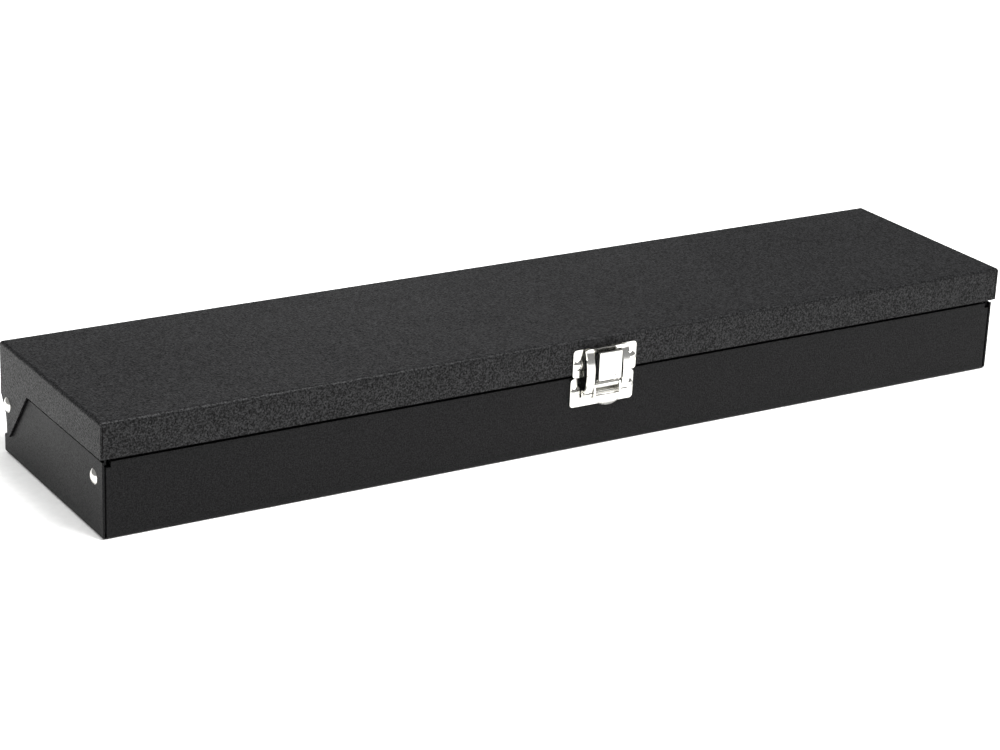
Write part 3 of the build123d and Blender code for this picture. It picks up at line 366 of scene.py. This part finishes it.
# %% New pieces
def add_piece(name, vertices, faces, material, body):
    """A smooth-shaded mesh that rides on a body and fills a material slot."""
    mesh = bpy.data.meshes.new(name)
    mesh.from_pydata(vertices, [], faces)
    mesh.polygons.foreach_set("use_smooth", [True] * len(mesh.polygons))
    mesh.materials.append(materials[material])
    piece = bpy.data.objects.new(name, mesh)
    bpy.context.scene.collection.objects.link(piece)
    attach(piece, body)
    return piece


def middle(node):
    """The centre of a part's box."""
    low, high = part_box(node)
    return (Vector(low) + Vector(high)) / 2


# %% [markdown]
# ## Foam beds
# A water jet leaves foam with slightly wavy walls and soft, rounded upper edges, and the sheet itself is never quite
# flat. Each bed is a copy of the model's plain block whose corners are rounded and whose vertices are pushed about by
# a slow noise of a tenth of a millimetre, so that it stays clear of the tools.

# %% Foam beds
WAVE = 0.12 * MM  # how far the foam's surface wanders
WAVE_SIZE = 14 * MM
LONG_EDGE = 20 * MM  # an edge longer than this is cut, so that it can wave
FLAT_ANGLE = math.radians(1)


def wavy_bed(node):
    source = nodes[node]
    mesh = source.data.copy()
    mesh.name = node + "_cut"
    shape = bmesh.new()
    shape.from_mesh(mesh)
    bmesh.ops.remove_doubles(shape, verts=shape.verts, dist=WELD_GAP)
    bmesh.ops.dissolve_limit(shape, angle_limit=FLAT_ANGLE, verts=shape.verts, edges=shape.edges)
    bmesh.ops.triangulate(shape, faces=shape.faces)
    bmesh.ops.subdivide_edges(shape, edges=[e for e in shape.edges if e.calc_length() > LONG_EDGE], cuts=2)
    for vertex in shape.verts:
        shift = noise.noise_vector(vertex.co / WAVE_SIZE) * WAVE
        vertex.co += Vector((shift.x, shift.y, -abs(shift.z)))
    shape.to_mesh(mesh)
    shape.free()
    piece = bpy.data.objects.new(node + "_cut", mesh)
    bpy.context.scene.collection.objects.link(piece)
    soften(piece, FOAM_EDGE)
    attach(piece, "case_base")
    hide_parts(node)
    return piece


beds = [wavy_bed(name) for name in sorted(nodes) if name.startswith("foam")]
print("foam pieces:", [bed.name for bed in beds])

# %% [markdown]
# ## Knurled grips
# The two handles are rolled between knurling wheels, which leave a pattern of small diamonds. Each sleeve is a grid
# wrapped round the handle's axis. Two sets of ridges cross it like screw threads of opposite hand, and a vertex
# stands out where it is far from both grooves, so the diamonds are real geometry and catch the light one by one.

# %% Knurled grips
DIAMOND = 2.0 * MM  # from one ridge to the next
KNURL_HEIGHT = 0.35 * MM
STEPS = 6  # vertices across one diamond
RIDGE_SLOPE = 1.6  # above 1, so that a ridge has a flat top


def knurled_sleeve(name, x, centre, radius):
    """A sleeve along X from x[0] to x[1] round the line through centre = (y, z)."""
    around = round(2 * math.pi * radius / DIAMOND)
    columns = around * STEPS
    pitch = 2 * math.pi * radius / around
    rows = round((x[1] - x[0]) / pitch) * STEPS + 1
    vertices, faces = [], []
    for row in range(rows):
        along = (x[1] - x[0]) * row / (rows - 1)
        fade = min(1.0, row / STEPS, (rows - 1 - row) / STEPS)
        for column in range(columns):
            turn = column / columns * around
            left = abs((turn + along / pitch) % 1 - 0.5) * 2
            right = abs((turn - along / pitch) % 1 - 0.5) * 2
            height = KNURL_HEIGHT * min(1.0, RIDGE_SLOPE * min(1 - left, 1 - right)) * fade
            angle = 2 * math.pi * column / columns
            reach = radius + height
            vertices.append((x[0] + along, centre[0] + reach * math.cos(angle), centre[1] + reach * math.sin(angle)))
    for row in range(rows - 1):
        for column in range(columns):
            after = (column + 1) % columns
            a, b = row * columns, (row + 1) * columns
            faces.append((a + column, a + after, b + after, b + column))
    return add_piece(name, vertices, faces, "satin_chrome", "case_base")


GRIP_CLEARANCE = 0.03 * MM
GRIP_START = 126 * MM  # both measured back from the handle's end
GRIP_END = 6 * MM
RATCHET_GRIP_RADIUS = 10.0 * MM
RATCHET_GRIP_Z = 28.7 * MM
FLEX_GRIP_RADIUS = 10.4 * MM


def grip_span(node):
    """Where a handle's grip starts and ends along X."""
    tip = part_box(node)[1][0]
    return (tip - GRIP_START, tip - GRIP_END)


knurled_sleeve("ratchet_knurled_grip", grip_span("ratchet_body"), (middle("ratchet_drive_gear").y, RATCHET_GRIP_Z),
               RATCHET_GRIP_RADIUS + GRIP_CLEARANCE)
knurled_sleeve("flex_knurled_grip", grip_span("flex_handle"), (middle("flex_handle").y, middle("flex_handle").z),
               FLEX_GRIP_RADIUS + GRIP_CLEARANCE)

# %% [markdown]
# ## Weld beads
# The lid is one folded blank whose corners are closed by a short run of weld near the bottom of each seam. A bead is
# a small lens with ripples round it, ground nearly flush and sprayed over with the lid's own coat.

# %% Weld beads
BEAD_RINGS = 10
BEAD_SEGMENTS = 20
BEAD_RIPPLE = 0.06
BEAD_RIPPLES = 12
BEAD_WOBBLE = 0.1  # how uneven its outline is
BEAD_WIDTH = 1.3 * MM
BEAD_HEIGHT = 2.2 * MM
BEAD_PROUD = 0.25 * MM
BEAD_INSET = 1.05 * MM  # from the lid's end to the bead's middle
BEAD_OUTSET = 0.02 * MM
BEAD_ABOVE_EDGE = 1.6 * MM


def weld_bead(name, place, outward):
    """A rippled lens standing proud of a face; outward is the face's unit normal along X or Y."""
    sideways = Vector((0, 0, 1)).cross(outward)
    vertices, faces = [Vector(place) + outward * BEAD_PROUD], []
    for ring in range(1, BEAD_RINGS + 1):
        share = ring / BEAD_RINGS
        for step in range(BEAD_SEGMENTS):
            angle = 2 * math.pi * step / BEAD_SEGMENTS
            ripple = BEAD_RIPPLE * math.sin(share * BEAD_RIPPLES + 2 * math.sin(angle))
            lift = BEAD_PROUD * (math.sqrt(max(0.0, 1 - share ** 2)) + ripple * (1 - share))
            roundness = Vector((math.cos(angle), math.sin(angle), place[0] * 10))
            edge = 1 + BEAD_WOBBLE * noise.noise(roundness)
            offset = sideways * (BEAD_WIDTH / 2 * share * edge * math.cos(angle))
            offset += Vector((0, 0, BEAD_HEIGHT / 2 * share * edge * math.sin(angle)))
            vertices.append(Vector(place) + offset + outward * lift)
    for step in range(BEAD_SEGMENTS):
        after = (step + 1) % BEAD_SEGMENTS
        faces.append((0, 1 + step, 1 + after))
        for ring in range(BEAD_RINGS - 1):
            a, b = 1 + ring * BEAD_SEGMENTS, 1 + (ring + 1) * BEAD_SEGMENTS
            faces.append((a + step, b + step, b + after, a + after))
    return add_piece(name, vertices, faces, "wrinkle", "lid")


lid_low, lid_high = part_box("lid_shell")
LID_EDGE_Z = 35.2 * MM
for label, side in (("left", -1), ("right", 1)):
    seam_x = side * (lid_high[0] - BEAD_INSET)
    place = (seam_x, lid_low[1] + BEAD_OUTSET, LID_EDGE_Z + BEAD_ABOVE_EDGE)
    weld_bead(f"weld_bead_front_{label}", place, Vector((0, -1, 0)))
print("weld beads on the lid's front corners")

# %% [markdown]
# ## Printed sizes
# Each socket's size is pad printed on the foam behind it, so that a gap shows what is missing. The figures are plain
# numbers, turned into a thin film of ink 0.03 mm thick that lies on the foam.

# %% Printed sizes
FIGURE_HEIGHT = 3.4 * MM
FIGURE_SHARE = 0.7  # a figure's height as a share of its type size
FIGURE_Y = -13.4 * MM
INK = 0.03 * MM


def printed_size(number, x, top):
    text = bpy.data.curves.new(f"size_{number}_text", "FONT")
    text.body = str(number)
    text.size = FIGURE_HEIGHT / FIGURE_SHARE
    text.align_x = "CENTER"
    text.align_y = "CENTER"
    text.extrude = INK / 2
    holder = bpy.data.objects.new(f"size_{number}_text", text)
    bpy.context.scene.collection.objects.link(holder)
    bpy.context.view_layer.update()
    evaluated = holder.evaluated_get(bpy.context.evaluated_depsgraph_get())
    mesh = bpy.data.meshes.new_from_object(evaluated)
    bpy.data.objects.remove(holder)
    mesh.materials.clear()
    mesh.materials.append(materials["print"])
    piece = bpy.data.objects.new(f"printed_size_{number}", mesh)
    piece.location = (x, FIGURE_Y, top + INK / 2)
    bpy.context.scene.collection.objects.link(piece)
    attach(piece, "case_base")
    return piece


foam_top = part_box("foam_handle_bed")[1][2]
for name in sorted(nodes):
    if name.startswith("socket_"):
        number = int(name.removeprefix("socket_").removesuffix("mm"))
        printed_size(number, middle(name).x, foam_top)

# %% [markdown]
# ## Studio
# A pale floor runs out under a grey surround. A wide, soft lamp overhead keeps the floor white and makes no hard
# highlight, one softbox over the front lights the lid's front fold and the latch, and a weak one far behind lays a
# faint sheen over the lid. The camera stands a little to the left of the latch and looks down on the lid.

# %% Studio
CAMERA_TURN = (-32.006, 20.775, 2.426)  # azimuth, elevation and roll in degrees
CAMERA_TARGET = Vector((-0.01297, 0.0, 0.01811))
CAMERA_DISTANCE = 1.2570
CAMERA_LENS = 101.0
CAMERA_SENSOR = 36.0
CAMERA_NEAR = 0.05


def add_camera():
    azimuth, elevation, roll = (math.radians(a) for a in CAMERA_TURN)
    back = Vector((math.sin(azimuth) * math.cos(elevation), -math.cos(azimuth) * math.cos(elevation),
                   math.sin(elevation)))
    right = Vector((math.cos(azimuth), math.sin(azimuth), 0.0))
    up = back.cross(right)
    across = math.cos(roll) * right + math.sin(roll) * up
    upward = -math.sin(roll) * right + math.cos(roll) * up
    data = bpy.data.cameras.new("camera")
    data.sensor_width = CAMERA_SENSOR
    data.lens = CAMERA_LENS
    data.clip_start = CAMERA_NEAR
    camera = bpy.data.objects.new("camera", data)
    bpy.context.scene.collection.objects.link(camera)
    turn = Matrix((across, upward, back)).transposed().to_4x4()
    camera.matrix_world = Matrix.Translation(CAMERA_TARGET + back * CAMERA_DISTANCE) @ turn
    bpy.context.scene.camera = camera


def add_lamp(name, kind, place, aim, power):
    data = bpy.data.lights.new(name, kind)
    data.energy = power
    lamp = bpy.data.objects.new(name, data)
    bpy.context.scene.collection.objects.link(lamp)
    lamp.location = place
    lamp.rotation_euler = (Vector(aim) - Vector(place)).to_track_quat("-Z", "Y").to_euler()
    return lamp


def add_softbox(name, place, aim, size, power):
    lamp = add_lamp(name, "AREA", place, aim, power)
    lamp.data.shape = "RECTANGLE"
    lamp.data.size, lamp.data.size_y = size


def add_overhead(power, spread_deg):
    """A sun as wide as a ceiling of light, which metal doesn't mirror."""
    lamp = add_lamp("overhead", "SUN", (-0.3, -0.6, 2.0), (0, 0, 0), power)
    lamp.data.angle = math.radians(spread_deg)
    lamp.visible_glossy = False


FLOOR_HALF = 6.0
PAPER_FIBRE = 4  # millimetres


def add_floor():
    mesh = bpy.data.meshes.new("floor")
    corners = [(x * FLOOR_HALF, y * FLOOR_HALF, 0) for x, y in ((-1, -1), (1, -1), (1, 1), (-1, 1))]
    mesh.from_pydata(corners, [], [(0, 1, 2, 3)])
    floor = bpy.data.objects.new("floor", mesh)
    bpy.context.scene.collection.objects.link(floor)
    made, tree, shader, place = start_material("pale_paper")
    fibre = add(tree, "ShaderNodeTexNoise", [("Vector", place)], in_Scale=per_metre(PAPER_FIBRE),
                in_Detail=4.0).outputs["Fac"]
    join(tree, shader, Base_Color=ramp(tree, fibre, [(0.3, "#f2f2f1"), (0.7, "#f8f8f7")]))
    shader.inputs["Roughness"].default_value = 0.9
    mesh.materials.append(made)


WORLD_STRENGTH = 0.3
OVERHEAD_POWER = 3.3
OVERHEAD_SPREAD = 100  # degrees
FOLD_POWER = 16  # watts
CORNER_POWER = 0.45

add_camera()
add_floor()
add_overhead(OVERHEAD_POWER, OVERHEAD_SPREAD)
add_softbox("fold_softbox", (0.12, -0.46, 1.0), (-0.2, -0.05, 0.05), (0.5, 0.35), FOLD_POWER)
add_softbox("corner_softbox", (0.45, 1.15, 0.5), (0, 0, 0.05), (0.6, 0.4), CORNER_POWER)
world = bpy.data.worlds.new("studio")
bpy.context.scene.world = world
world.use_nodes = True
world.node_tree.nodes["Background"].inputs["Color"].default_value = linear("#ffffff")
world.node_tree.nodes["Background"].inputs["Strength"].default_value = WORLD_STRENGTH
bpy.context.scene.view_settings.view_transform = "Standard"
print("camera at", [round(v, 3) for v in bpy.context.scene.camera.location])
